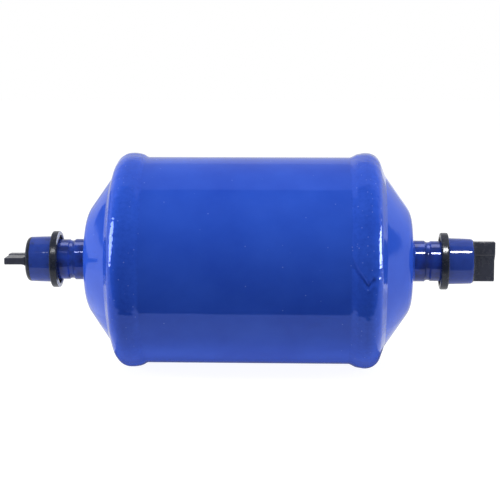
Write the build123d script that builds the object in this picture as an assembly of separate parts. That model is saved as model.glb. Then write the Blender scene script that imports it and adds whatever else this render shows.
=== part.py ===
from build123d import *
import math
import os

# A sealed liquid-line filter drier with solder sockets. X runs along the flow, from the
# inlet at -X to the outlet at +X, with the origin on the axis, midway between the ends.
# Sections are drawn with X along the axis and Y as the radius, then turned about X.
# Millimetres throughout.

# --- Shell -------------------------------------------------------------------------
shell_diameter = 73.0
shell_wall = 1.6
shell_length = 87.0

# --- Dished end caps, one pressed into each end of the shell tube ------------------
cap_wall = 1.6
cap_skirt_insert = 7.5      # length of the skirt inside the tube
cap_skirt_fit = 0.05        # radial slip between skirt and tube
cap_corner_rise = 1.0       # from the tube's end out to the corner of skirt and cone
cap_cone_angle = 55.0       # between the cone and the axis, degrees
cap_crown_land = 9.25       # from the connector out to the corner of cone and crown
cap_shoulder_bend = 1.4     # inside bend radius, skirt to cone
cap_crown_bend = 9.2        # inside bend radius, cone to crown

# --- Seam welds over the corner of tube and end cap ----------------------------------
weld_height = 1.7           # crown of the bead above the tube
weld_tube_leg = 7.8         # from the tube's end back along the tube to the toe
weld_crown_offset = 3.3     # from the tube's end back to the start of the bead's top
weld_top_reach = 1.6        # from the tube's end out to the bead's outer corner
weld_cone_leg = 5.9         # from the skirt corner down the cone to the crease
weld_corner_radius = 5.0

# --- Connectors: rolled steel tubes with a half-inch solder socket -------------------
socket_bore = 12.8
socket_wall = 0.7
socket_depth = 13.3         # from the tube stop to the mouth
stub_wall = 0.85            # wall of the part between the crown and the tube stop
stub_length = 5.5           # from the crown's face out to the tube stop
stop_width = 2.2            # rolled groove that forms the tube stop
stop_depth = 0.4
connector_inset = 1.5       # past the inner face of the crown
connector_fit = 0.05        # radial slip in the crown's hole
mouth_chamfer = 0.3
braze_leg_radial = 1.3
braze_leg_axial = 1.1
braze_hollow = 0.38         # position of the fillet's middle between corner and chord

# --- Push-on rubber seal caps ------------------------------------------------------------
seal_fit = 0.05             # radial slip on the connector
seal_end_gap = 0.1          # between the connector's mouth and the end wall
seal_cover = 10.0           # length of connector inside the cap
seal_end_wall = 1.75
seal_root_wall = 1.05       # barrel wall beside the flange
seal_tip_wall = 0.75        # barrel wall at the outer end
seal_tip_radius = 1.2
flange_height = 1.85        # above the barrel beside it
flange_length = 2.8
flange_edge_radius = 0.5
flange_lip_width = 1.5      # flat ring left round the flange's hollow face
flange_hollow_depth = 1.3
tab_length = 7.35
tab_setback = 0.9           # from the barrel's outside to the tab's edge
tab_thickness = 2.4
tab_flare = 0.5             # extra half thickness where the tab meets the cap
tab_flare_length = 1.3
tab_rib_share = 3.0         # the thicker strip takes one part in this many of the width
tab_rib_step = 0.25         # how far the strip stands out on each face and at the tip

# --- Stack inside the shell, listed from the outlet to the inlet ----------------------
stack_gap = 0.3             # radial gap between loose discs and the tube
plate_thickness = 1.2
plate_hole = 5.5
plate_bridge = 2.8          # metal between neighbouring holes
plate_border = 3.6          # plain ring left round the hole pattern
screen_thickness = 0.5
screen_opening = 4.2
screen_bar = 1.2
screen_border = 2.4
outlet_pad_thickness = 4.0
core_flow_gap = 2.4         # radial gap between core and tube
core_bore = 18.0
core_closed_end = 14.0      # thickness left at the bottom of the core's bore
core_chamfer = 1.5
ring_length = 6.0           # felt ring sealing the core's outlet end to the tube
ring_fit = 0.05
inlet_pad_thickness = 3.0
spring_plate_thickness = 1.0
spring_plate_rim = 3.0
spring_plate_bend = 0.5     # inside bend radius of the rim
spring_plate_float = 1.8    # travel left between the rim and the inlet skirt
spring_wire = 2.0           # across the corners of its section
spring_wire_sides = 10
spring_seat_gap = 0.4       # between the base coil and the spring plate's rim
spring_top_gap = 4.25       # between the small coil and the inlet connector
spring_turns = 5

# --- Sizes that follow -------------------------------------------------------------------
shell_radius = shell_diameter / 2
bore_radius = shell_radius - shell_wall
tube_end = shell_length / 2
skirt_radius = bore_radius - cap_skirt_fit
skirt_end = tube_end - cap_skirt_insert
socket_radius = socket_bore / 2
socket_outer = socket_radius + socket_wall
stub_outer = socket_radius + stub_wall
cone = math.radians(cap_cone_angle)
crown_corner_radius = stub_outer + cap_crown_land
corner_x = tube_end + cap_corner_rise
crown_x = corner_x + (skirt_radius - crown_corner_radius) / math.tan(cone)
stop_x = crown_x + stub_length
mouth_x = stop_x + stop_width / 2 + socket_depth
connector_start = crown_x - cap_wall - connector_inset
crown_hole = stub_outer + connector_fit

seal_bore = socket_outer + seal_fit
seal_open_x = mouth_x - seal_cover
seal_floor_x = mouth_x + seal_end_gap
seal_end_x = seal_floor_x + seal_end_wall
barrel_root_radius = seal_bore + seal_root_wall
barrel_tip_radius = seal_bore + seal_tip_wall
flange_radius = barrel_root_radius + flange_height
flange_hollow_radius = flange_radius - flange_lip_width
tab_half_width = barrel_tip_radius - tab_setback

disc_radius = bore_radius - stack_gap
core_radius = bore_radius - core_flow_gap
outlet_plate_x = skirt_end - plate_thickness
outlet_screen_x = outlet_plate_x - screen_thickness
core_end_x = outlet_screen_x - outlet_pad_thickness
spring_rim_x = spring_plate_float - skirt_end
spring_seat_x = spring_rim_x + spring_plate_rim
inlet_screen_x = spring_seat_x + spring_plate_thickness
inlet_pad_x = inlet_screen_x + screen_thickness
core_start_x = inlet_pad_x + inlet_pad_thickness


def turned(*edges):
    """Close the edges into a section and turn it about the X axis."""
    return revolve(make_face(edges), Axis.X)


def ring(inner, outer, x0, x1):
    """Plain ring or disc between two places on the axis."""
    return turned(Polyline((x0, inner), (x1, inner), (x1, outer), (x0, outer), close=True))


def inlet_side(part):
    """The same piece at the other end of the drier."""
    return mirror(part, Plane.YZ)


def dish_edge(inset, stop_radius):
    """Line of the end cap's wall from the skirt's end to the crown, moved in by inset."""
    corner = (corner_x - inset * math.tan(cone / 2), skirt_radius - inset)
    crown_inset = inset * math.tan((math.pi / 2 - cone) / 2)
    crown = (crown_x - inset, crown_corner_radius - crown_inset)
    bends = [cap_shoulder_bend + cap_wall - inset, cap_crown_bend + cap_wall - inset]
    return FilletPolyline(
        (skirt_end, skirt_radius - inset), corner, crown, (crown_x - inset, stop_radius), radius=bends
    )


def end_cap():
    """Pressed steel dish: skirt, shoulder bend, cone, crown bend and a pierced flat crown."""
    outside = dish_edge(0, crown_hole)
    inside = dish_edge(cap_wall, crown_hole)
    return turned(outside, inside, Line(outside @ 0, inside @ 0), Line(outside @ 1, inside @ 1))


def seam_weld():
    """Bead that fills the corner between the tube's end and the dish's shoulder."""
    toe = (tube_end - weld_tube_leg, shell_radius)
    top = shell_radius + weld_height
    top_start = (tube_end - weld_crown_offset, top)
    run = top_start[0] - toe[0]
    bulge = (run**2 + weld_height**2) / (2 * weld_height)
    half_turn = math.asin(run / bulge) / 2
    middle = (top_start[0] - bulge * math.sin(half_turn), top - bulge * (1 - math.cos(half_turn)))
    crease = (corner_x + weld_cone_leg * math.cos(cone), skirt_radius - weld_cone_leg * math.sin(cone))
    back = ThreePointArc(toe, middle, top_start)
    face = FilletPolyline(top_start, (tube_end + weld_top_reach, top), crease, radius=weld_corner_radius)
    bead = make_face([back, face, Line(crease, toe)])
    tube_section = make_face(
        Polyline((toe[0], 0), (tube_end, 0), (tube_end, shell_radius), (toe[0], shell_radius), close=True)
    )
    hull_line = dish_edge(0, 0)
    hull = make_face([hull_line, Polyline(hull_line @ 1, (skirt_end, 0), hull_line @ 0)])
    return revolve(bead - tube_section - hull, Axis.X)


def connector():
    """Tube through the crown, with a rolled groove whose inside is the tube stop."""
    stop_from = stop_x - stop_width / 2
    stop_to = stop_x + stop_width / 2
    groove_floor = (stop_x, socket_outer - stop_depth)
    stop_crest = (stop_x, socket_radius - stop_depth)
    return turned(
        Line((connector_start, stub_outer), (stop_from, stub_outer)),
        ThreePointArc((stop_from, stub_outer), groove_floor, (stop_to, socket_outer)),
        Polyline(
            (stop_to, socket_outer),
            (mouth_x, socket_outer),
            (mouth_x, socket_radius + mouth_chamfer),
            (mouth_x - mouth_chamfer, socket_radius),
            (stop_to, socket_radius),
        ),
        ThreePointArc((stop_to, socket_radius), stop_crest, (stop_from, socket_radius)),
        Polyline(
            (stop_from, socket_radius), (connector_start, socket_radius), (connector_start, stub_outer)
        ),
    )


def braze_ring():
    """Hollow-faced fillet of braze metal between the crown and the connector."""
    foot = (crown_x, stub_outer + braze_leg_radial)
    tip = (crown_x + braze_leg_axial, stub_outer)
    middle = (crown_x + braze_leg_axial * braze_hollow, stub_outer + braze_leg_radial * braze_hollow)
    return turned(ThreePointArc(foot, middle, tip), Polyline(tip, (crown_x, stub_outer), foot))


def tab_strip(low, high, half_thickness, length):
    """Part of the pull tab between two heights, flared where it meets the cap."""
    wide = half_thickness + tab_flare
    upper = [
        (seal_end_x - seal_end_wall / 2, wide),
        (seal_end_x, wide),
        (seal_end_x + tab_flare_length, half_thickness),
        (seal_end_x + length, half_thickness),
    ]
    outline = Polyline(*upper, *[(x, -y) for x, y in reversed(upper)], close=True)
    return extrude(Plane.XY.offset(low) * make_face(outline), high - low)


def seal_cap():
    """Rubber cap in one piece: hollow flange, barrel over the socket, end wall and pull tab."""
    flange_back = seal_open_x + flange_length
    hollow_x = seal_open_x + flange_hollow_depth
    flange = FilletPolyline(
        (seal_open_x, flange_hollow_radius),
        (seal_open_x, flange_radius),
        (flange_back, flange_radius),
        (flange_back, barrel_root_radius),
        radius=flange_edge_radius,
    )
    barrel = FilletPolyline(
        (flange_back, barrel_root_radius),
        (seal_end_x, barrel_tip_radius),
        (seal_end_x, 0),
        radius=seal_tip_radius,
    )
    inside = Polyline(
        (seal_end_x, 0),
        (seal_floor_x, 0),
        (seal_floor_x, seal_bore),
        (hollow_x, seal_bore),
        (seal_open_x, flange_hollow_radius),
    )
    rib_low = tab_half_width * (1 - 2 / tab_rib_share)
    blade = tab_strip(-tab_half_width, rib_low, tab_thickness / 2, tab_length)
    rib = tab_strip(rib_low, tab_half_width, tab_thickness / 2 + tab_rib_step, tab_length + tab_rib_step)
    return turned(flange, barrel, inside) + blade + rib


def hexagon_grid(pitch, reach):
    """Centres of a triangular grid whose furthest point lies within reach."""
    rings = int(reach / pitch)
    rows = range(-rings, rings + 1)
    return [
        (pitch * (q + r / 2), pitch * r * math.sqrt(3) / 2) for q in rows for r in rows if abs(q + r) <= rings
    ]


def square_grid(pitch, opening, reach):
    """Centres of square openings whose corners all lie within reach."""
    count = int(reach / pitch)
    places = [pitch * i for i in range(-count, count + 1)]
    half = opening / 2
    return [(y, z) for y in places for z in places if math.hypot(abs(y) + half, abs(z) + half) <= reach]


def pierced(disc, x, depth, cutter, places):
    """Cut the same hole through a disc at each place, from x onwards along the axis."""
    holes = [extrude(Plane(origin=(x, y, z), z_dir=(1, 0, 0)) * cutter, depth) for y, z in places]
    return disc - holes


def perforated(disc, x, depth):
    """Disc or cup with the round holes of both plates."""
    places = hexagon_grid(plate_hole + plate_bridge, disc_radius - plate_border - plate_hole / 2)
    return pierced(disc, x, depth, Circle(plate_hole / 2), places)


def outlet_plate():
    """Flat perforated plate that carries the stack on the end of the outlet skirt."""
    disc = ring(0, disc_radius, outlet_plate_x, skirt_end)
    return perforated(disc, outlet_plate_x, plate_thickness)


def screen(x, radius):
    """Square-mesh screen in a plain rim."""
    disc = ring(0, radius, x, x + screen_thickness)
    places = square_grid(screen_opening + screen_bar, screen_opening, radius - screen_border)
    return pierced(disc, x, screen_thickness, Rectangle(screen_opening, screen_opening), places)


def desiccant_core():
    """Moulded block, closed at the inlet end and bored from the outlet end."""
    bore_floor = core_start_x + core_closed_end
    bore = core_bore / 2
    return turned(
        Polyline(
            (core_start_x, 0),
            (core_start_x, core_radius - core_chamfer),
            (core_start_x + core_chamfer, core_radius),
            (core_end_x, core_radius),
            (core_end_x, bore),
            (bore_floor, bore),
            (bore_floor, 0),
            close=True,
        )
    )


def spring_plate():
    """Pierced cup with a turned rim that centres the spring's base coil."""
    wall = spring_plate_thickness
    outside = FilletPolyline(
        (inlet_screen_x, 0),
        (inlet_screen_x, disc_radius),
        (spring_rim_x, disc_radius),
        radius=spring_plate_bend + wall,
    )
    inside = FilletPolyline(
        (spring_rim_x, disc_radius - wall),
        (spring_seat_x, disc_radius - wall),
        (spring_seat_x, 0),
        radius=spring_plate_bend,
    )
    cup = turned(outside, Line(outside @ 1, inside @ 0), inside, Line(inside @ 1, outside @ 0))
    return perforated(cup, spring_seat_x, wall)


def core_spring():
    """Conical spring from the spring plate, narrowing to the inside of the inlet crown."""
    rim_inside = disc_radius - spring_plate_thickness
    base_radius = rim_inside - spring_seat_gap - spring_wire / 2
    top_radius = stub_outer + spring_top_gap + spring_wire / 2
    base_x = spring_seat_x - spring_wire / 2
    height = crown_x - cap_wall + base_x - spring_wire / 2
    narrowing = math.degrees(math.atan((base_radius - top_radius) / height))
    path = Helix(
        pitch=height / spring_turns,
        height=height,
        radius=base_radius,
        center=(base_x, 0, 0),
        direction=(-1, 0, 0),
        cone_angle=-narrowing,
    )
    wire = RegularPolygon(spring_wire / 2, spring_wire_sides)
    return sweep(Plane(origin=path @ 0, z_dir=path % 0) * wire, path, is_frenet=True)


outlet_seal_cap = seal_cap()

nodes = {
    "shell_tube": ring(bore_radius, shell_radius, -tube_end, tube_end),
    "outlet_seal_cap": outlet_seal_cap,
    "inlet_seal_cap": Rot(X=90) * inlet_side(outlet_seal_cap),
    "outlet_plate": outlet_plate(),
    "outlet_screen": screen(outlet_screen_x, disc_radius),
    "outlet_pad": ring(0, disc_radius, core_end_x, outlet_screen_x),
    "core_seal_ring": ring(
        core_radius + ring_fit, bore_radius - ring_fit, core_end_x - ring_length, core_end_x
    ),
    "desiccant_core": desiccant_core(),
    "inlet_pad": ring(0, core_radius, inlet_pad_x, core_start_x),
    "inlet_screen": screen(inlet_screen_x, core_radius),
    "spring_plate": spring_plate(),
    "core_spring": core_spring(),
}
for name, make in {
    "end_cap": end_cap,
    "seam_weld": seam_weld,
    "connector": connector,
    "braze_ring": braze_ring,
}.items():
    piece = make()
    nodes["outlet_" + name] = piece
    nodes["inlet_" + name] = inlet_side(piece)

os.makedirs("parts", exist_ok=True)
for name, piece in nodes.items():
    export_step(piece, f"parts/{name}.step")
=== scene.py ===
"""Filter drier: a blue steel canister with two tube connectors under push-on rubber seal caps.

The axis of the drier lies along X, inlet at -X and outlet at +X. Lengths are given in millimetres
where a profile is drawn, and turned into metres when its mesh is made.
"""
import math
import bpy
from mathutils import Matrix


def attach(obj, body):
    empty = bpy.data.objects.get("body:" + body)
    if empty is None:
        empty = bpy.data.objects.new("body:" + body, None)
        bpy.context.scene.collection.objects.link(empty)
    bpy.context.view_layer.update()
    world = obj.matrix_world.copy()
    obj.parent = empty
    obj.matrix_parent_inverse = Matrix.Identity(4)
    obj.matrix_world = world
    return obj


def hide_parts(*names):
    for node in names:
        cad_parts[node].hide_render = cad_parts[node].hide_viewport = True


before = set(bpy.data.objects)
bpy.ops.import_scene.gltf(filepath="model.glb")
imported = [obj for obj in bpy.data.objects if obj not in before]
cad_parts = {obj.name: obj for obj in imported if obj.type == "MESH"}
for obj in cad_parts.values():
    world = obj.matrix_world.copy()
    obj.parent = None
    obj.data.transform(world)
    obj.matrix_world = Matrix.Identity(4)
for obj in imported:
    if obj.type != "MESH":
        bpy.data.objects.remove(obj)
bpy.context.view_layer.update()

from types import SimpleNamespace

import bmesh
import bpy
import numpy as np
from mathutils import Quaternion, Vector

MM = 0.001

# Places on the solids, in millimetres.
SHELL_RADIUS = 36.5
TUBE_END = 43.5
SKIRT_CORNER = (44.5, 34.85)
CONE_ANGLE = math.radians(55.0)
CROWN_X = 57.349
STUB_RADIUS = 7.25
SEAL_BORE = 7.15
SEAL_OPEN_X = 67.249
SEAL_FLOOR_X = 77.349
SEAL_END_X = 79.099
FLANGE_BACK_X = 70.049
FLANGE_RADIUS = 10.05
TAB_HALF_WIDTH = 7.0
TAB_TIP_X = 86.45
BEAD_TOP_LIMIT = 38.2
BEAD_MIDDLE_RADIUS = 37.5


# ---------------------------------------------------------------- mesh making

def smoothstep(low, high, value):
    """0 below low, 1 above high, and 3t^2 - 2t^3 of the fraction t between them."""
    t = np.clip((value - low) / (high - low), 0.0, 1.0)
    return t * t * (3.0 - 2.0 * t)


def rounded_path(corners, radii, count):
    """Straight runs joined by arcs, as count points spaced evenly along the line.

    A corner with bend radius R is left out; the arc that touches both runs takes its place. It starts
    R / tan(half the angle between the runs) from the corner, and its centre lies on the angle's
    bisector, R / sin(half the angle) away.
    """
    corners = np.asarray(corners, float)
    before = corners[:-2] - corners[1:-1]
    after = corners[2:] - corners[1:-1]
    before /= np.linalg.norm(before, axis=1)[:, None]
    after /= np.linalg.norm(after, axis=1)[:, None]
    half = np.arccos(np.clip((before * after).sum(1), -1, 1)) / 2
    radii = np.asarray(radii, float)
    bisector = before + after
    length = np.linalg.norm(bisector, axis=1)
    straight = length < 1e-6
    bisector /= np.where(straight, 1.0, length)[:, None]
    centre = corners[1:-1] + bisector * (radii / np.sin(half))[:, None]
    start = corners[1:-1] + before * (radii / np.tan(half))[:, None] - centre
    end = corners[1:-1] + after * (radii / np.tan(half))[:, None] - centre
    arc_points = 17
    t = np.linspace(0, 1, arc_points)[None, :, None]
    sweep = (math.pi - 2 * half)[:, None, None]
    safe = np.where(sweep < 1e-6, 1.0, np.sin(sweep))
    arc = (np.sin((1 - t) * sweep) * start[:, None] + np.sin(t * sweep) * end[:, None]) / safe
    points = np.concatenate([corners[:1], (arc + centre[:, None]).reshape(-1, 2), corners[-1:]])
    run = np.concatenate([[0.0], np.cumsum(np.linalg.norm(np.diff(points, axis=0), axis=1))])
    even = np.linspace(0, run[-1], count)
    return np.stack([np.interp(even, run, points[:, 0]), np.interp(even, run, points[:, 1])], 1)


def waves(angle, seed, low, high, count=7):
    """A smooth irregular swing round the axis: a sum of sines of the angle with whole-number
    frequencies from low to high, weights falling as 1 / sqrt(frequency / low), and phases drawn from
    seed. Its size is about 1.
    """
    draw = np.random.default_rng(seed)
    order = draw.integers(low, high + 1, count)
    phase = draw.uniform(0, 2 * math.pi, count)
    weight = draw.uniform(0.5, 1.0, count) / np.sqrt(order / low)
    total = sum(w * np.sin(k * angle + p) for w, k, p in zip(weight, order, phase))
    crest_factor = 1.6
    return total / math.sqrt((weight ** 2).sum() / 2 + 1e-9) / crest_factor


def mesh_piece(name, points, material, body, stands_for=(), around=True, along=False):
    """A grid of points (rows, columns, 3), in millimetres, made into a piece with smooth quads.

    Columns close on themselves when around is True, and rows when along is True. Points that fall
    together, such as a pole, are merged, and the faces are turned outwards.
    """
    rows, columns = points.shape[:2]
    verts = (points * MM).reshape(-1, 3)
    index = np.arange(rows * columns).reshape(rows, columns)
    if along:
        index = np.concatenate([index, index[:1]])
    if around:
        index = np.concatenate([index, index[:, :1]], axis=1)
    quads = np.stack([index[:-1, :-1], index[:-1, 1:], index[1:, 1:], index[1:, :-1]], -1)
    quads = quads.reshape(-1, 4)
    mesh = bpy.data.meshes.new(name)
    mesh.vertices.add(len(verts))
    mesh.vertices.foreach_set("co", verts.ravel())
    mesh.loops.add(quads.size)
    mesh.loops.foreach_set("vertex_index", quads.ravel())
    mesh.polygons.add(len(quads))
    mesh.polygons.foreach_set("loop_start", np.arange(0, quads.size, 4))
    mesh.update(calc_edges=True)
    bm = bmesh.new()
    bm.from_mesh(mesh)
    bmesh.ops.remove_doubles(bm, verts=bm.verts, dist=1e-7)
    bmesh.ops.recalc_face_normals(bm, faces=bm.faces)
    bm.to_mesh(mesh)
    bm.free()
    mesh.shade_smooth()
    mesh.materials.append(material)
    piece = bpy.data.objects.new(name, mesh)
    bpy.context.scene.collection.objects.link(piece)
    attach(piece, body)
    if stands_for:
        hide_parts(*stands_for)
    return piece


def turned(path, lift, count):
    """Profile points (x, r) carried round the X axis in count steps.

    The angle a starts at the front, -Y, and rises over the top: y = -r cos a, z = r sin a. lift is a
    function of (x, r, a) that gives how far each point moves out from the axis.
    """
    angle = np.arange(count) * 2 * math.pi / count
    x = np.repeat(path[:, :1], count, 1)
    r = np.repeat(path[:, 1:], count, 1)
    a = np.repeat(angle[None], len(path), 0)
    r = r + lift(x, r, a)
    return np.stack([x, -r * np.cos(a), r * np.sin(a)], -1)


def no_lift(x, r, a):
    """A profile carried round unchanged."""
    return 0 * x


def mirrored(points):
    """The same grid on the inlet side, x changed to -x."""
    return points * np.array([-1.0, 1.0, 1.0])


# ---------------------------------------------------------------- materials

RANGE_SOCKETS = ("From Min", "From Max", "To Min", "To Max")


def shader_tree(name):
    """A new material and short ways to add nodes to it and to link them."""
    material = bpy.data.materials.new(name)
    material.use_nodes = True
    tree = material.node_tree
    surface = tree.nodes["Principled BSDF"]

    def put(socket, value):
        """Link a node's output to the socket, or set the socket to a plain value."""
        if isinstance(value, bpy.types.NodeSocket):
            tree.links.new(value, socket)
        else:
            socket.default_value = value

    def noise(place, scale, detail=2.0, rough=0.5, twist=0.0):
        """Cloudy noise from 0 to 1, scale features to a metre."""
        node = tree.nodes.new("ShaderNodeTexNoise")
        put(node.inputs["Vector"], place)
        put(node.inputs["Scale"], scale)
        put(node.inputs["Detail"], detail)
        put(node.inputs["Roughness"], rough)
        put(node.inputs["Distortion"], twist)
        return node.outputs["Fac"]

    def dots(place, scale, size, chance):
        """Round dots one to a cell: 1 at a cell's centre, 0 at size, in the share chance of cells."""
        cell = tree.nodes.new("ShaderNodeTexVoronoi")
        put(cell.inputs["Vector"], place)
        put(cell.inputs["Scale"], scale)
        near = span(cell.outputs["Distance"], size, 0.0, 0.0, 1.0)
        pick = tree.nodes.new("ShaderNodeSeparateColor")
        put(pick.inputs[0], cell.outputs["Color"])
        return sums("MULTIPLY", near, sums("LESS_THAN", pick.outputs[0], chance))

    def span(value, a, b, c, d):
        """Value carried evenly from the range a to b onto the range c to d, and held there."""
        node = tree.nodes.new("ShaderNodeMapRange")
        put(node.inputs["Value"], value)
        for socket, limit in zip(RANGE_SOCKETS, (a, b, c, d)):
            put(node.inputs[socket], limit)
        return node.outputs["Result"]

    def sums(kind, a, b=0.0, c=0.0):
        """One step of arithmetic."""
        node = tree.nodes.new("ShaderNodeMath")
        node.operation = kind
        for socket, v in zip(node.inputs, (a, b, c)):
            put(socket, v)
        return node.outputs[0]

    def blend(share, a, b):
        """Colour a where share is 0 and colour b where it is 1."""
        node = tree.nodes.new("ShaderNodeMix")
        node.data_type = "RGBA"
        put(node.inputs[0], share)
        put(node.inputs[6], a)
        put(node.inputs[7], b)
        return node.outputs[2]

    def relief(height, distance, normal=None):
        """Surface direction over a height from 0 to 1 that stands for distance in metres."""
        node = tree.nodes.new("ShaderNodeBump")
        put(node.inputs["Height"], height)
        put(node.inputs["Distance"], distance)
        if normal is not None:
            put(node.inputs["Normal"], normal)
        return node.outputs["Normal"]

    def from_axis():
        """Distance from the drier's axis: the root of y^2 + z^2."""
        return sums("SQRT", sums("ADD", sums("POWER", parts.outputs[1], 2),
                                 sums("POWER", parts.outputs[2], 2)))

    place = tree.nodes.new("ShaderNodeTexCoord").outputs["Object"]
    parts = tree.nodes.new("ShaderNodeSeparateXYZ")
    put(parts.inputs[0], place)
    return SimpleNamespace(material=material, tree=tree, surface=surface, put=put, noise=noise, dots=dots,
                           span=span, sums=sums, blend=blend, relief=relief, from_axis=from_axis,
                           place=place, xyz=parts.outputs)


def set_gloss(shader, ior, tint=(1, 1, 1, 1), flake=0.0):
    """Constant numbers of the surface shader: flake is the share of fine metal flake in a paint."""
    shader.surface.inputs["IOR"].default_value = ior
    shader.surface.inputs["Specular Tint"].default_value = tint
    if flake:
        shader.surface.inputs["Metallic"].default_value = flake


PAINT_DEEP = (0.019, 0.068, 0.48, 1)
PAINT_LIGHT = (0.028, 0.093, 0.57, 1)
PAINT_IOR = 1.44
BARE_IOR = 1.5
GLOSS_TINT = (0.85, 0.95, 1.0, 1)
FLAKE_SHARE = 0.13


def paint_layers(shader, wave=1.0, peel=1.0, nibs=1.0):
    """Colour, roughness and relief of the blue enamel: cloudy depth, slow waves, orange peel and
    dust nibs under the film, with pale specks on the nibs as painted glints. wave, peel and nibs
    scale those three.
    """
    cloud = shader.noise(shader.place, 38, 4, 0.6)
    colour = shader.blend(shader.span(cloud, 0.3, 0.7, 0, 1), PAINT_DEEP, PAINT_LIGHT)
    nib_and_glint = shader.dots(shader.place, 400, 0.11, 0.14)
    # Painted glints: the nibs are coloured pale blue-white to stand for the light that they catch; their
    # relief below is real.
    colour = shader.blend(shader.sums("MULTIPLY", nib_and_glint, 0.5), colour, (0.36, 0.50, 0.92, 1))
    rough = shader.span(shader.noise(shader.place, 160, 5, 0.65), 0.3, 0.75, 0.05, 0.10)
    normal = shader.relief(shader.noise(shader.place, 42, 1.5, 0.5), 0.00016 * wave)
    normal = shader.relief(shader.noise(shader.place, 130, 2, 0.5), 0.00004 * wave, normal)
    normal = shader.relief(shader.noise(shader.place, 620, 2, 0.5), 0.0000075 * peel, normal)
    normal = shader.relief(nib_and_glint, 0.00004 * nibs, normal)
    return colour, rough, normal


def canister_enamel():
    """Glossy blue enamel on the shell and the domed end caps."""
    shader = shader_tree("canister_enamel")
    colour, rough, normal = paint_layers(shader)
    shader.put(shader.surface.inputs["Base Color"], colour)
    shader.put(shader.surface.inputs["Roughness"], rough)
    shader.put(shader.surface.inputs["Normal"], normal)
    set_gloss(shader, PAINT_IOR, GLOSS_TINT, FLAKE_SHARE)
    return shader.material


def weld_enamel():
    """The same enamel over the welding beads: the metal's ripples and pores show through."""
    shader = shader_tree("weld_enamel")
    colour, rough, normal = paint_layers(shader, 2.2, 2.6, 1.8)
    pits = shader.dots(shader.place, 340, 0.22, 0.22)
    painted_glints = shader.dots(shader.place, 620, 0.16, 0.32)
    mottle = shader.span(shader.noise(shader.place, 750, 4, 0.7), 0.42, 0.75, 0, 0.4)
    colour = shader.blend(mottle, colour, (0.012, 0.045, 0.36, 1))
    # Painted glints: pale blue-white specks over the bead stand for light caught by its rough metal.
    colour = shader.blend(shader.sums("MULTIPLY", painted_glints, 0.45), colour, (0.40, 0.53, 0.92, 1))
    normal = shader.relief(shader.noise(shader.place, 210, 3, 0.6), 0.00007, normal)
    normal = shader.relief(pits, -0.00005, normal)
    shader.put(shader.surface.inputs["Base Color"], colour)
    shader.put(shader.surface.inputs["Roughness"], rough)
    shader.put(shader.surface.inputs["Normal"], normal)
    set_gloss(shader, PAINT_IOR, GLOSS_TINT, FLAKE_SHARE)
    return shader.material


def connector_finish():
    """Blue enamel as far as the seal cap's lip, bare copper-plated steel beyond it and in the bore."""
    shader = shader_tree("connector_finish")
    colour, rough, normal = paint_layers(shader, 1.2, 1.4)
    colour = shader.blend(shader.span(shader.noise(shader.place, 240, 3), 0.35, 0.65, 0.45, 1.0),
                          colour, (0.022, 0.036, 0.16, 1))
    paint_end = 0.0683
    bore_skin = 0.0066
    distance = shader.sums("ABSOLUTE", shader.xyz[0])
    ragged = shader.sums("MULTIPLY_ADD", shader.noise(shader.place, 900, 3), 0.0012, distance)
    covered = shader.sums("GREATER_THAN", ragged, paint_end)
    inside = shader.sums("LESS_THAN", shader.from_axis(), bore_skin)
    bare = shader.sums("MAXIMUM", covered, inside)
    drawn = shader.noise(shader.place, 350, 6, 0.7)
    copper = shader.blend(drawn, (0.72, 0.34, 0.19, 1), (0.86, 0.47, 0.30, 1))
    tarnish = shader.span(shader.noise(shader.place, 120, 4), 0.5, 0.75, 0, 0.55)
    copper = shader.blend(tarnish, copper, (0.33, 0.15, 0.09, 1))
    shader.put(shader.surface.inputs["Base Color"], shader.blend(bare, colour, copper))
    shader.put(shader.surface.inputs["Metallic"], shader.sums("MAXIMUM", bare, FLAKE_SHARE))
    worn = shader.span(drawn, 0.3, 0.7, 0.24, 0.42)
    shader.put(shader.surface.inputs["Roughness"],
               shader.sums("MULTIPLY_ADD", bare, shader.sums("SUBTRACT", worn, rough), rough))
    shader.put(shader.surface.inputs["Normal"], normal)
    set_gloss(shader, BARE_IOR)
    return shader.material


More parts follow.
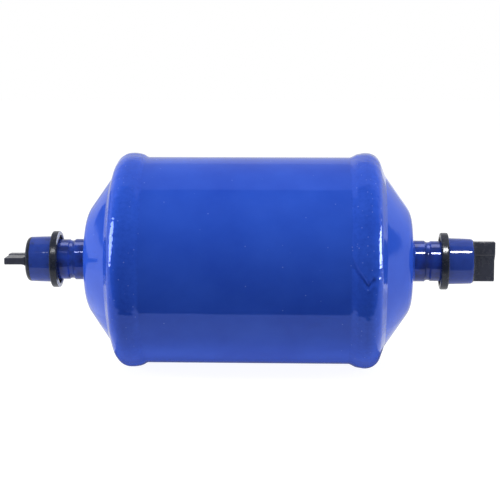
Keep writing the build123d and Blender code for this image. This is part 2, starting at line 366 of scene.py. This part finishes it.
def seal_cap_finish(name, dark_end, scuff, painted_highlight=0.0):
    """Black rubber with enamel overspray on the barrel: the flange, the tab and the rim of the end
    face stay black, dark_end millimetres of it. scuff is how far the film is rubbed off in patches.
    The last argument sets a painted highlight that whitens the flange's hollow face at its top and
    bottom, where that face catches the light.
    """
    flange_root = 0.0073
    highlight_low, highlight_high = 0.0071, 0.0079
    film_roughness = 0.07
    shader = shader_tree(name)
    distance = shader.sums("ABSOLUTE", shader.xyz[0])
    grain = shader.noise(shader.place, 500, 4, 0.6)
    ragged = shader.sums("MULTIPLY_ADD", grain, 0.0006, distance)
    after_flange = shader.sums("GREATER_THAN", ragged, FLANGE_BACK_X * MM + 0.0004)
    before_end = shader.sums("LESS_THAN", ragged, (SEAL_END_X - dark_end) * MM)
    barrel = shader.sums("GREATER_THAN", shader.from_axis(), flange_root)
    sprayed = shader.sums("MULTIPLY", barrel, shader.sums("MULTIPLY", after_flange, before_end))
    patch = shader.span(shader.noise(shader.place, 260, 5, 0.7), 0.55, 0.75, 0, scuff)
    film = shader.sums("MULTIPLY", sprayed, shader.sums("SUBTRACT", 1.0, patch))
    blue = shader.blend(grain, (0.018, 0.040, 0.23, 1), (0.026, 0.060, 0.31, 1))
    dust = shader.span(shader.noise(shader.place, 140, 6, 0.7), 0.45, 0.8, 0, 1)
    rubber = shader.blend(dust, (0.014, 0.018, 0.031, 1), (0.034, 0.039, 0.054, 1))
    on_tab = shader.sums("GREATER_THAN", distance, (SEAL_END_X - 0.05) * MM)
    rubber = shader.blend(shader.sums("MULTIPLY", on_tab, 0.6), rubber, (0.062, 0.066, 0.090, 1))
    # Painted highlight: pale grey-white on the flange's hollow face at its top and bottom, standing for the
    # light reflected there.
    if painted_highlight:
        lip = shader.sums("LESS_THAN", distance, (SEAL_OPEN_X + 0.45) * MM)
        height = shader.sums("ABSOLUTE", shader.xyz[2])
        uneven = shader.sums("MULTIPLY_ADD", grain, 0.002, height)
        ends = shader.span(uneven, highlight_low, highlight_high, 0, 1)
        rubber = shader.blend(shader.sums("MULTIPLY", shader.sums("MULTIPLY", lip, ends), painted_highlight),
                              rubber, (0.55, 0.57, 0.60, 1))
    shader.put(shader.surface.inputs["Base Color"], shader.blend(film, rubber, blue))
    matt = shader.span(grain, 0.3, 0.7, 0.18, 0.32)
    shader.put(shader.surface.inputs["Roughness"],
               shader.sums("MULTIPLY_ADD", film, shader.sums("SUBTRACT", film_roughness, matt), matt))
    normal = shader.relief(shader.noise(shader.place, 160, 2), 0.000035)
    normal = shader.relief(grain, 0.00002, normal)
    shader.put(shader.surface.inputs["Normal"], normal)
    set_gloss(shader, BARE_IOR)
    return shader.material


def bare_steel():
    """Zinc-pale drawn steel of the spring, screens and plates inside."""
    shader = shader_tree("bare_steel")
    streak = shader.noise(shader.place, 300, 6, 0.7)
    shader.put(shader.surface.inputs["Base Color"],
               shader.blend(streak, (0.50, 0.50, 0.49, 1), (0.68, 0.68, 0.67, 1)))
    shader.surface.inputs["Metallic"].default_value = 1.0
    shader.put(shader.surface.inputs["Roughness"], shader.span(streak, 0.3, 0.7, 0.28, 0.45))
    shader.put(shader.surface.inputs["Normal"], shader.relief(streak, 0.00002))
    return shader.material


def wool_felt():
    """Pressed off-white felt of the pads and the core's sealing ring: tangled fibres."""
    shader = shader_tree("wool_felt")
    fibre = shader.noise(shader.place, 1100, 5, 0.75, 2.5)
    shader.put(shader.surface.inputs["Base Color"],
               shader.blend(fibre, (0.58, 0.56, 0.50, 1), (0.82, 0.80, 0.74, 1)))
    shader.surface.inputs["Roughness"].default_value = 0.95
    shader.surface.inputs["Sheen Weight"].default_value = 0.25
    shader.put(shader.surface.inputs["Normal"], shader.relief(fibre, 0.0004))
    return shader.material


def molecular_sieve():
    """The moulded core: pale grey-buff beads bonded together."""
    shader = shader_tree("molecular_sieve")
    bead = shader.tree.nodes.new("ShaderNodeTexVoronoi")
    shader.put(bead.inputs["Vector"], shader.place)
    shader.put(bead.inputs["Scale"], 620)
    pick = shader.tree.nodes.new("ShaderNodeSeparateColor")
    shader.put(pick.inputs[0], bead.outputs["Color"])
    shader.put(shader.surface.inputs["Base Color"],
               shader.blend(pick.outputs[0], (0.55, 0.50, 0.42, 1), (0.76, 0.72, 0.64, 1)))
    shader.surface.inputs["Roughness"].default_value = 0.85
    shader.put(shader.surface.inputs["Normal"],
               shader.relief(shader.span(bead.outputs["Distance"], 0, 0.7, 1, 0), 0.0006))
    return shader.material


# ---------------------------------------------------------------- detailed pieces

def bead_path(height, tube_leg, top_start, top_reach, cone_leg, corner, count):
    """Section of a welding bead as a closed loop: toe, rising back, flat top, round corner, steep
    face down to the crease on the cone, and back under the skin of the tube and the dish.

    The top stands height above the tube, from top_start before the tube's end to top_reach past it.
    The toe lies tube_leg before the tube's end and the crease cone_leg along the cone from the
    skirt's corner.
    """
    top = SHELL_RADIUS + height
    toe = (TUBE_END - tube_leg, SHELL_RADIUS - 0.02)
    crease = (SKIRT_CORNER[0] + cone_leg * math.cos(CONE_ANGLE),
              SKIRT_CORNER[1] - cone_leg * math.sin(CONE_ANGLE))
    start = (TUBE_END - top_start, top)
    middle = ((toe[0] + start[0]) / 2 - 0.35, (toe[1] + start[1]) / 2 + 0.38)
    outside = rounded_path(
        [(toe[0] - 1.6, SHELL_RADIUS - 0.06), toe, middle, start, (TUBE_END + top_reach, top), crease,
         (crease[0] + 0.9, crease[1] - 1.35)],
        [3.0, 4.0, 6.0, corner, 1.3], count)
    inside = rounded_path(
        [(crease[0] + 0.5, crease[1] - 1.5), (SKIRT_CORNER[0] - 0.3, 34.2), (TUBE_END, 36.1),
         (toe[0] - 1.4, 36.2)], [0.5, 0.5], 24)
    return outside, inside


def seam_bead(name, node, path, side, seed, lap, rough):
    """The painted welding bead.

    Its height above the tube swings slowly round the seam, falls off to nothing at the toe and the
    crease, and carries the weld pool's ripples: sin(112 angle + 5 s^2), s from -1 at the toe to 1 at
    the crease. rough is the size of its finer puckers: a swing of 36 to 96 waves round the seam times
    cos(7 s + a slow swing). lap is the overlap of the weld's start and end.
    """
    outside, inside = path
    count = 600
    angle = np.arange(count) * 2 * math.pi / count
    s = np.linspace(-1, 1, len(outside))[:, None]
    a = angle[None]
    cover = smoothstep(-1.0, -0.55, s) * (1 - smoothstep(0.45, 0.95, s))
    slow = -0.16 + 0.14 * waves(a, seed, 2, 9) + 0.05 * waves(a + 0.1 * s, seed + 1, 12, 40)
    ripple = 0.018 * np.sin(112 * a + 5 * s ** 2 + 2 * waves(a, seed + 2, 3, 12))
    pucker = rough * waves(a + 0.2 * s, seed + 3, 36, 96) * np.cos(7 * s + 3 * waves(a, seed + 4, 2, 9))
    lift = cover * (np.minimum(slow, 0.0) + ripple + pucker)
    lift = lift + lap(outside[:, :1], (a + math.pi) % (2 * math.pi) - math.pi)
    x = np.repeat(outside[:, :1], count, 1)
    r = outside[:, 1:] + lift
    r = np.minimum(r, BEAD_TOP_LIMIT - 0.005)
    front = np.stack([x, -r * np.cos(a), r * np.sin(a)], -1)
    back = turned(inside, no_lift, count)
    points = np.concatenate([front, back])
    if side < 0:
        points = mirrored(points)
    return mesh_piece(name, points, weld_blue, "drier", (node,), along=True)


def no_lap(x, a):
    """A plain seam."""
    return 0 * x * a


def v_lap(x, a):
    """Crater of the weld's end: a groove along two straight runs in the plane of x and arc length,
    depth * exp(-(distance / width)^2) deep.
    """
    groove_depth, groove_width = 0.85, 0.6
    arc = a * BEAD_MIDDLE_RADIUS
    corners = np.array([(35.4, 4.4), (40.9, -3.9), (42.6, -1.6)])
    depth = 0 * x * a
    for (x0, s0), (x1, s1) in zip(corners[:-1], corners[1:]):
        run = math.hypot(x1 - x0, s1 - s0)
        ux, us = (x1 - x0) / run, (s1 - s0) / run
        along = np.clip((x - x0) * ux + (arc - s0) * us, 0, run)
        away = np.hypot(x - x0 - along * ux, arc - s0 - along * us)
        depth = np.minimum(depth, -groove_depth * np.exp(-(away / groove_width) ** 2))
    return depth


def braze_fillet(name, node, side, seed, drips):
    """Run-out of braze metal where the connector leaves the crown.

    The section is a hollow fillet whose legs grow and shrink round the joint: the leg on the crown
    falls as (1 - t)^2 while the leg along the tube grows as t^2. A drip adds a lobe of given width,
    reach and push along the tube at one angle, falling off as exp(-(turn / width)^2).
    """
    count = 240
    a = np.arange(count) * 2 * math.pi / count
    leg = 1.15 + 0.28 * waves(a, seed, 2, 7) + 0.10 * waves(a, seed + 1, 8, 24)
    axial = 0.85 + 0.22 * waves(a, seed + 2, 2, 9)
    for centre, width, reach, push in drips:
        turn = (a - centre + math.pi) % (2 * math.pi) - math.pi
        leg = leg + reach * np.exp(-(turn / width) ** 2)
        axial = axial + push * np.exp(-(turn / (width * 1.4)) ** 2)
    leg = np.clip(leg, 0.5, None)
    axial = np.clip(axial, 0.4, None)
    t = np.linspace(0, 1, 28)[:, None]
    fall = (1 - t) ** 2
    rise = t ** 2
    r = STUB_RADIUS + leg * fall + 0.22 * t * (1 - t)
    x = CROWN_X - 0.02 + axial * rise + 0.30 * t * (1 - t)
    in_tube = np.full((1, count), STUB_RADIUS - 0.35)
    in_crown = np.full((1, count), CROWN_X - 0.4)
    r = np.concatenate([r, in_tube, in_tube, r[:1]])
    x = np.concatenate([x, x[-1:] - 0.1, in_crown, in_crown])
    points = np.stack([x + 0 * r, -r * np.cos(a), r * np.sin(a)], -1)
    if side < 0:
        points = mirrored(points)
    return mesh_piece(name, points, weld_blue, "drier", (node,), along=True)


def seal_body(name, node, side, seed, material, end_radius):
    """The cup of a seal cap: one profile from the middle of the end face, over the barrel and the
    flange, round the flange's hollow face and down the bore to the floor.
    """
    barrel_tip, barrel_root = 7.9, 8.2
    hollow_radius = 8.55
    hollow_floor_x = SEAL_OPEN_X + 1.3
    profile = rounded_path(
        [(SEAL_END_X, 0.0), (SEAL_END_X, barrel_tip), (FLANGE_BACK_X, barrel_root),
         (FLANGE_BACK_X, FLANGE_RADIUS), (SEAL_OPEN_X, FLANGE_RADIUS), (SEAL_OPEN_X, hollow_radius),
         (hollow_floor_x, hollow_radius), (hollow_floor_x, SEAL_BORE), (SEAL_FLOOR_X, SEAL_BORE),
         (SEAL_FLOOR_X, 0.0)],
        [end_radius, 0.35, 0.55, 0.55, 0.35, 0.3, 0.25, 0.5], 300)

    def lift(x, r, a):
        """The moulding's slight unevenness, on its outside only."""
        outer = smoothstep(7.4, 7.8, r)
        return outer * (-0.03 + 0.02 * waves(a + 0.15 * x, seed, 2, 6))

    points = turned(profile, lift, 192)
    if side < 0:
        points = mirrored(points)
    return mesh_piece(name, points, material, body_of_side[side], (node,))


def pull_tab(name, side, upright, material, seed):
    """Flat finger tab on a seal cap's end.

    Its section is a strip with rounded edges whose upper third is thicker; the strip flares where it
    grows from the end face, thickness + flare * (1 - distance / flare length)^2, and its tip is
    rounded by drawing the section in along a quarter circle.
    """
    half, rib, edge = 1.2, 1.45, TAB_HALF_WIDTH
    step = edge / 3
    section = rounded_path(
        [(-half, 0), (-half, -edge), (half, -edge), (half, step), (rib, step), (rib, edge), (-rib, edge),
         (-rib, step), (-half, step), (-half, 0)],
        [0.3, 0.3, 0.06, 0.1, 0.35, 0.35, 0.1, 0.06], 140)[:-1]
    root = SEAL_END_X - 0.9
    tip_round = 0.35
    s = np.linspace(0, 1, 36)
    run = root + (TAB_TIP_X - tip_round - root) * s
    turn = np.linspace(0, math.pi / 2, 8)[1:]
    x = np.concatenate([run, TAB_TIP_X - tip_round + tip_round * np.sin(turn)])
    inset = np.concatenate([0 * s, tip_round * (1 - np.cos(turn))])
    flare_size, flare_length, flare_limit = 0.5, 1.3, 1.3
    flare = flare_size * np.clip(1 - (x - SEAL_END_X) / flare_length, 0, flare_limit) ** 2
    wide = (edge - inset) / edge
    thick = (rib - inset + flare) / rib
    t = section[None, :, 0] * thick[:, None]
    w = section[None, :, 1] * wide[:, None]
    near_tip = smoothstep(TAB_TIP_X - 1.5, TAB_TIP_X, x)[:, None]
    longer = 0.24 * smoothstep(step - 0.1, step + 0.1, w) * near_tip
    bow = 0.05 * np.sin(w * 0.5 + seed) * smoothstep(SEAL_END_X, TAB_TIP_X, x)[:, None]
    grid = np.stack([x[:, None] + longer, t + bow, w], -1)
    first = grid[:1].mean(1, keepdims=True) + 0 * grid[:1]
    last = grid[-1:].mean(1, keepdims=True) + 0 * grid[-1:]
    last[..., 0] = grid[-1:, :, 0].mean()
    grid = np.concatenate([first, grid, last])
    if not upright:
        grid = grid[..., [0, 2, 1]]
    if side < 0:
        grid = mirrored(grid)
    return mesh_piece(name, grid, material, body_of_side[side])


# ---------------------------------------------------------------- the object

enamel = canister_enamel()
weld_blue = weld_enamel()
connector_blue = connector_finish()
inlet_rubber = seal_cap_finish("inlet_seal_finish", 1.3, 0.75, 0.8)
outlet_rubber = seal_cap_finish("outlet_seal_finish", 0.2, 0.15)
steel = bare_steel()
felt = wool_felt()
sieve = molecular_sieve()
body_of_side = {-1: "inlet_cap", 1: "outlet_cap"}

finish_of_node = {
    "shell_tube": enamel, "inlet_end_cap": enamel, "outlet_end_cap": enamel,
    "inlet_connector": connector_blue, "outlet_connector": connector_blue,
    "core_spring": steel, "spring_plate": steel, "inlet_screen": steel, "outlet_screen": steel,
    "outlet_plate": steel, "inlet_pad": felt, "outlet_pad": felt, "core_seal_ring": felt,
    "desiccant_core": sieve,
}
for node, finish in finish_of_node.items():
    for material_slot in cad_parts[node].material_slots:
        material_slot.material = finish

inlet_path = bead_path(height=1.56, tube_leg=7.64, top_start=3.59, top_reach=1.82, cone_leg=6.24,
                       corner=5.7, count=110)
outlet_path = bead_path(height=1.69, tube_leg=8.01, top_start=3.01, top_reach=1.35, cone_leg=5.5,
                        corner=5.4, count=110)
inlet_bead = seam_bead("inlet_bead", "inlet_seam_weld", inlet_path, -1, 11, no_lap, 0.012)
outlet_bead = seam_bead("outlet_bead", "outlet_seam_weld", outlet_path, 1, 23, v_lap, 0.026)
inlet_braze = braze_fillet("inlet_braze", "inlet_braze_ring", -1, 5,
                           [(-0.05, 0.12, 2.1, 0.1), (0.3, 0.22, 0.5, 0.3)])
outlet_braze = braze_fillet("outlet_braze", "outlet_braze_ring", 1, 8,
                            [(0.25, 0.25, 0.9, 0.3), (-0.6, 0.4, 0.4, 0.1)])
inlet_body = seal_body("inlet_cap_body", "inlet_seal_cap", -1, 31, inlet_rubber, 1.6)
outlet_body = seal_body("outlet_cap_body", "outlet_seal_cap", 1, 37, outlet_rubber, 1.2)
pull_tab("inlet_cap_tab", -1, False, inlet_rubber, 1)
outlet_tab = pull_tab("outlet_cap_tab", 1, True, outlet_rubber, 2)


# ---------------------------------------------------------------- stage, light and camera

def plain_stage(name, corners, faces, material):
    """Flat panels that aren't part of the drier: the floor, flags and scrims."""
    mesh = bpy.data.meshes.new(name)
    mesh.from_pydata(corners, [], faces)
    mesh.materials.append(material)
    thing = bpy.data.objects.new(name, mesh)
    bpy.context.scene.collection.objects.link(thing)
    return thing


def floor_finish():
    """Pale floor: a matt surface; the camera sees it lifted to white, with the shadow kept."""
    material = bpy.data.materials.new("pale_floor")
    material.use_nodes = True
    tree = material.node_tree
    tree.nodes.clear()
    out = tree.nodes.new("ShaderNodeOutputMaterial")
    matt = tree.nodes.new("ShaderNodeBsdfDiffuse")
    matt.inputs["Color"].default_value = (0.36, 0.36, 0.36, 1)
    shade = tree.nodes.new("ShaderNodeBsdfDiffuse")
    shade.inputs["Color"].default_value = (0.17, 0.17, 0.17, 1)
    glow = tree.nodes.new("ShaderNodeEmission")
    glow.inputs["Strength"].default_value = 0.93
    lifted = tree.nodes.new("ShaderNodeAddShader")
    seen = tree.nodes.new("ShaderNodeLightPath")
    pick = tree.nodes.new("ShaderNodeMixShader")
    tree.links.new(shade.outputs[0], lifted.inputs[0])
    tree.links.new(glow.outputs[0], lifted.inputs[1])
    tree.links.new(seen.outputs["Is Camera Ray"], pick.inputs[0])
    tree.links.new(matt.outputs[0], pick.inputs[1])
    tree.links.new(lifted.outputs[0], pick.inputs[2])
    tree.links.new(pick.outputs[0], out.inputs["Surface"])
    return material


def flag_finish(name, level, fade=None):
    """Cloth of a studio flag or scrim that shows a plain grey level in the gloss.

    fade = (start, end, end level) lets the grey run evenly to another level between two depths y.
    """
    material = bpy.data.materials.new(name)
    material.use_nodes = True
    tree = material.node_tree
    tree.nodes.clear()
    out = tree.nodes.new("ShaderNodeOutputMaterial")
    glow = tree.nodes.new("ShaderNodeEmission")
    glow.inputs["Color"].default_value = (level, level, level, 1)
    tree.links.new(glow.outputs[0], out.inputs["Surface"])
    if fade:
        start, end, end_level = fade
        glow.inputs["Color"].default_value = (1, 1, 1, 1)
        parts = tree.nodes.new("ShaderNodeSeparateXYZ")
        ramp = tree.nodes.new("ShaderNodeMapRange")
        tree.links.new(tree.nodes.new("ShaderNodeTexCoord").outputs["Object"], parts.inputs[0])
        tree.links.new(parts.outputs[1], ramp.inputs["Value"])
        for socket, limit in zip(RANGE_SOCKETS, (start, end, level, end_level)):
            ramp.inputs[socket].default_value = limit
        tree.links.new(ramp.outputs["Result"], glow.inputs["Strength"])
    return material


# Floor, flags and scrims, in metres. The flags and scrims show only in the gloss of the paint.
FLOOR_Z = -0.0383
floor = plain_stage("floor", [(-4, -4, FLOOR_Z), (4, -4, FLOOR_Z), (4, 4, FLOOR_Z), (-4, 4, FLOOR_Z)],
                    [(0, 1, 2, 3)], floor_finish())
floor.visible_glossy = False

black = flag_finish("black_flag", 0.015)
flag_near = -0.051
flag_far = -0.60
flag_top = 0.70
flag_over = -0.010
flag_side = 0.62
wing_end = 0.05
flag = plain_stage(
    "front_flag",
    [(-flag_side, flag_near, FLOOR_Z), (flag_side, flag_near, FLOOR_Z),
     (-flag_side, flag_far, FLOOR_Z), (flag_side, flag_far, FLOOR_Z),
     (-flag_side, flag_far, flag_top), (flag_side, flag_far, flag_top),
     (-flag_side, flag_over, flag_top), (flag_side, flag_over, flag_top)],
    [(0, 1, 3, 2), (2, 3, 5, 4), (4, 5, 7, 6)], black)
wings = plain_stage(
    "side_flags",
    [(-flag_side, wing_end, FLOOR_Z), (-flag_side, flag_far, FLOOR_Z),
     (-flag_side, flag_far, flag_top), (-flag_side, wing_end, flag_top),
     (flag_side, wing_end, FLOOR_Z), (flag_side, flag_far, FLOOR_Z),
     (flag_side, flag_far, flag_top), (flag_side, wing_end, flag_top)],
    [(0, 1, 2, 3), (4, 5, 6, 7)], black)


def slant_card(name, side, rim, level):
    """A small flag beside the drier: an outline in the plane x = 150 mm, its rim given as (y, z) in
    millimetres.
    """
    plane = 0.150
    rim = np.array(rim) * MM
    x = np.full((len(rim), 1), side * plane)
    return plain_stage(name, np.concatenate([x, rim], 1).tolist(), [tuple(range(len(rim)))],
                       flag_finish(name + "_cloth", level))


left_card = slant_card(
    "left_card", -1, [(21, 3), (29, 11), (41, 22), (59, 32), (84, 40), (104, 46), (96, 58), (70, 62),
                      (50, 58), (35, 48), (25, 34), (19, 18)], 0.03)
right_card = slant_card(
    "right_card", 1, [(-3, -14), (7, -8), (13.6, 2), (25.6, 16), (32.7, 25), (38, 33), (41, 41), (38, 49),
                      (29, 54), (19, 54), (12, 48), (7, 36), (2, 18), (-3, 0)], 0.01)
grey = flag_finish("grey_scrim", 0.66)
dim = flag_finish("dim_scrim", 0.44)
reach = 2.4
behind = 2.0
roof = 1.6
gap = 0.30
gap_start = 0.12
wall_foot = 0.14
scrim = plain_stage(
    "back_scrim",
    [(-reach, flag_near, FLOOR_Z), (reach, flag_near, FLOOR_Z), (reach, gap_start, FLOOR_Z),
     (-reach, gap_start, FLOOR_Z), (-gap, gap_start, FLOOR_Z), (-gap, behind, FLOOR_Z),
     (-reach, behind, FLOOR_Z),
     (gap, gap_start, FLOOR_Z), (gap, behind, FLOOR_Z), (reach, behind, FLOOR_Z),
     (-reach, behind, wall_foot), (reach, behind, wall_foot), (reach, behind, roof),
     (-reach, behind, roof),
     (-reach, wing_end, FLOOR_Z), (-reach, wing_end, roof), (reach, wing_end, FLOOR_Z),
     (reach, wing_end, roof)],
    [(0, 1, 2, 3), (3, 4, 5, 6), (7, 2, 9, 8), (10, 11, 12, 13), (14, 6, 13, 15), (16, 17, 12, 9)], grey)


def floor_corners(left, right, near, far, height):
    """Corners of a rectangle that lies height above the floor."""
    z = FLOOR_Z + height
    return [(left, near, z), (right, near, z), (right, far, z), (left, far, z)]


table = plain_stage("table_scrim", floor_corners(-0.07, 0.07, flag_near, 0.05, 1e-4), [(0, 1, 2, 3)],
                    flag_finish("table_cloth", 0.78))
left_leg_card = slant_card("left_leg_card", -1, [(75, -37), (160, -37), (160, 4), (75, 4)], 0.15)
low = plain_stage(
    "low_scrims",
    [(side * x, behind - 0.01, z) for side in (-1, 1) for x, z in
     ((0.6, FLOOR_Z), (reach, FLOOR_Z), (reach, 0.16), (0.6, 0.16))]
    + floor_corners(0.108, 0.140, 0.055, 0.105, 1e-4),
    [(0, 1, 2, 3), (4, 5, 6, 7), (8, 9, 10, 11)], flag_finish("low_cloth", 0.50))
beside = plain_stage("dome_scrim", floor_corners(-0.280, -0.085, 0.008, 0.110, 1e-4), [(0, 1, 2, 3)],
                     flag_finish("dome_cloth", 0.80))
roof_scrim = plain_stage(
    "roof_scrim",
    [(-reach, behind, roof), (reach, behind, roof), (reach, flag_over, flag_top),
     (-reach, flag_over, flag_top)], [(0, 1, 2, 3)], dim)
under = plain_stage("under_card", floor_corners(-0.055, 0.055, -0.040, 0.03, 2e-4), [(0, 1, 2, 3)],
                    flag_finish("contact_shade", 0.78, (-0.036, -0.010, 0.12)))
for card in (flag, wings, left_card, right_card, left_leg_card, scrim, table, low, beside, roof_scrim,
             under):
    card.visible_camera = False
    card.visible_diffuse = False
    card.visible_shadow = False
    card.visible_transmission = False


def area_lamp(name, place, aim, width, height, watts, glossy=False, diffuse=True, only=(),
              shape="RECTANGLE", roll=0.0):
    """A soft lamp at place, turned towards aim and rolled by some degrees about that line. only
    names the pieces that it reaches, and without it the lamp reaches all.
    """
    data = bpy.data.lights.new(name, "AREA")
    data.shape = shape
    data.size, data.size_y = width, height
    data.energy = watts
    lamp = bpy.data.objects.new(name, data)
    bpy.context.scene.collection.objects.link(lamp)
    lamp.location = place
    facing = (Vector(aim) - Vector(place)).to_track_quat("-Z", "Y")
    lamp.rotation_euler = (facing @ Quaternion((0, 0, 1), math.radians(roll))).to_euler()
    lamp.visible_glossy = glossy
    lamp.visible_diffuse = diffuse
    lamp.visible_camera = False
    if only:
        reached = bpy.data.collections.new(name + "_reach")
        for piece in only:
            reached.objects.link(piece)
        lamp.light_linking.receiver_collection = reached


# Lamps, in metres and watts. The boxes draw the streaks on the piece or pieces that they name.
inlet_neck = [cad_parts["inlet_connector"], inlet_braze, inlet_body]
outlet_neck = [outlet_braze, outlet_body, outlet_tab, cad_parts["outlet_connector"]]
area_lamp("overhead", (0, -0.20, 0.87), (0, 0, 0), 0.9, 0.7, 6.7)
area_lamp("left_fill", (-0.80, 0.0, 0.0), (0, 0, 0), 0.5, 0.5, 10.2)
area_lamp("right_fill", (0.80, 0.0, 0.05), (0, 0, 0), 0.5, 0.5, 5.9)
area_lamp("left_box", (-0.48, -0.07, 0.104), (-0.045, 0, 0), 0.19, 0.335, 1.70, True, False, [inlet_bead],
          "ELLIPSE", -28)
area_lamp("right_box", (0.48, 0.05, 0.03), (0.045, 0, 0), 0.24, 0.18, 2.4, True, False, [outlet_bead])
area_lamp("left_neck_box", (-0.139, -0.36, 0.40), (-0.06, 0, 0), 0.005, 0.030, 0.06, True, False,
          inlet_neck)
area_lamp("neck_box", (0.111, -0.36, 0.47), (0.07, 0, 0), 0.056, 0.070, 1.0, True, False, outlet_neck)
area_lamp("ring_box", (0.142, -0.36, 0.50), (0.07, 0, 0), 0.12, 0.085, 2.4, True, False, [outlet_body])
area_lamp("neck_sky", (0.0, 0.12, 0.45), (0, 0, 0), 0.5, 0.2, 0.8, True, True,
          [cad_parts["inlet_connector"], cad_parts["outlet_connector"]])
area_lamp("left_ring_box", (-0.139, -0.36, 0.30), (-0.06, 0, 0), 0.05, 0.06, 0.35, True, False, [inlet_body])
area_lamp("floor_glow", (-0.09, 0.002, FLOOR_Z + 3e-4), (-0.09, 0.002, 1), 0.46, 0.070, 0.102)


def studio_world():
    """Soft sky that lights the drier, and plain white for camera, glossy and transmission rays."""
    world = bpy.data.worlds.new("studio")
    world.use_nodes = True
    tree = world.node_tree
    tree.nodes.clear()
    out = tree.nodes.new("ShaderNodeOutputWorld")
    soft = tree.nodes.new("ShaderNodeBackground")
    soft.inputs["Color"].default_value = (1, 1, 1, 1)
    soft.inputs["Strength"].default_value = 0.57
    white = tree.nodes.new("ShaderNodeBackground")
    white.inputs["Color"].default_value = (1, 1, 1, 1)
    white.inputs["Strength"].default_value = 1.0
    seen = tree.nodes.new("ShaderNodeLightPath")
    share = seen.outputs["Is Camera Ray"]
    for ray in ("Is Glossy Ray", "Is Transmission Ray"):
        either = tree.nodes.new("ShaderNodeMath")
        either.operation = "MAXIMUM"
        tree.links.new(share, either.inputs[0])
        tree.links.new(seen.outputs[ray], either.inputs[1])
        share = either.outputs[0]
    mix = tree.nodes.new("ShaderNodeMixShader")
    tree.links.new(share, mix.inputs[0])
    tree.links.new(soft.outputs[0], mix.inputs[1])
    tree.links.new(white.outputs[0], mix.inputs[2])
    tree.links.new(mix.outputs[0], out.inputs["Surface"])
    return world


bpy.context.scene.world = studio_world()

camera_data = bpy.data.cameras.new("camera")
camera_data.sensor_width = 36.0
camera_data.lens = 108.0
camera_data.clip_start = 0.01
camera_data.clip_end = 50.0
camera = bpy.data.objects.new("camera", camera_data)
bpy.context.scene.collection.objects.link(camera)
turn = math.radians(2.5)
rise = math.radians(7.0)
distance = 0.5325
back = Vector((math.sin(turn) * math.cos(rise), -math.cos(turn) * math.cos(rise), math.sin(rise)))
target = Vector((0.00025, 0.0, 0.0036))
camera.location = target + back * distance
camera.rotation_mode = "QUATERNION"
camera.rotation_quaternion = (-back).to_track_quat("-Z", "Y")
bpy.context.scene.camera = camera
bpy.context.scene.view_settings.view_transform = "Standard"
